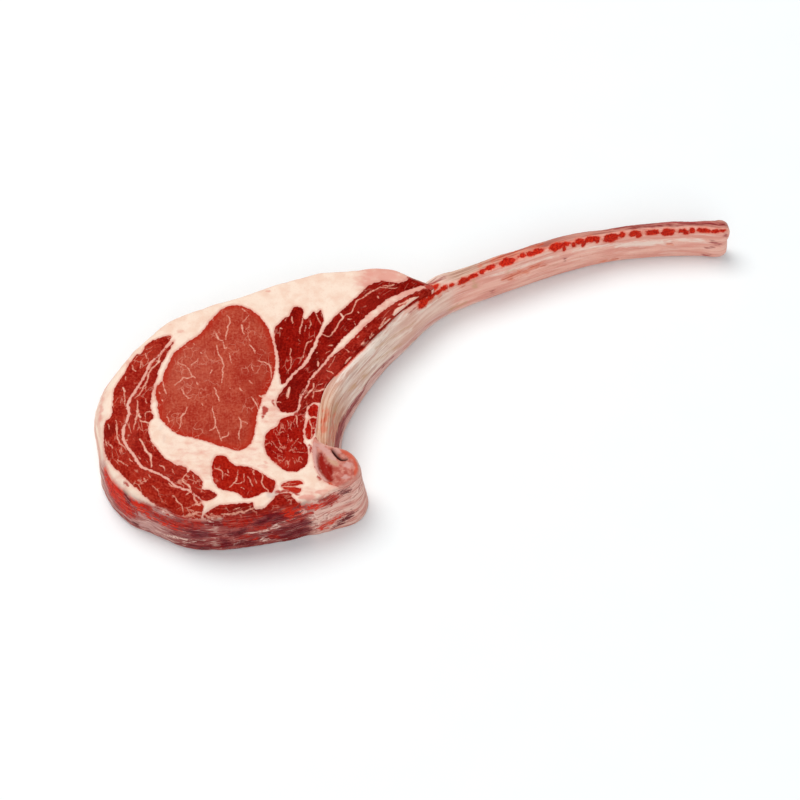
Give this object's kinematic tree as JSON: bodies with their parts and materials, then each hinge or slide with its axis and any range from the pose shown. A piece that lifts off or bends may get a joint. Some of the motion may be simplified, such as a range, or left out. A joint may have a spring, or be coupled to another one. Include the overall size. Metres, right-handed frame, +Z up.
{
  "type": "raw tomahawk rib steak",
  "caption": "Raw bone-in rib steak on its long curved rib bone: marbled eye, cap and rib muscles in a broad fat rim, lying flat with the cut face up.",
  "frame": {"origin": "middle of the bounding box, on the plane that the steak lies on", "axes": "+X along the length, towards the free end of the rib bone; +Y towards the back fat edge; +Z up through the thickness"},
  "size_m": [0.4545, 0.2666, 0.044],
  "materials": {
    "fat": "moist satin fat, cream with pink patches",
    "muscle": "moist raw red muscle with fine white marbling",
    "eye_muscle": "moist fine-grained pinkish red muscle with white veins",
    "dark_muscle": "moist deep red muscle",
    "bone": "scraped pinkish bone with a moist skin and red marrow spots"
  },
  "bodies": {
    "root": {"fat_body": "fat", "eye_muscle": "eye_muscle", "cap_muscle_outer": "muscle", "cap_muscle_inner": "muscle", "complexus_muscle": "muscle", "multifidus_muscle": "muscle", "spine_muscle": "muscle", "wedge_muscle": "dark_muscle", "rib_muscle_outer": "dark_muscle", "rib_muscle_inner": "dark_muscle", "edge_muscle": "muscle", "front_muscle": "muscle", "backbone": "bone", "rib_bone": "bone"}
  },
  "joints": []
}
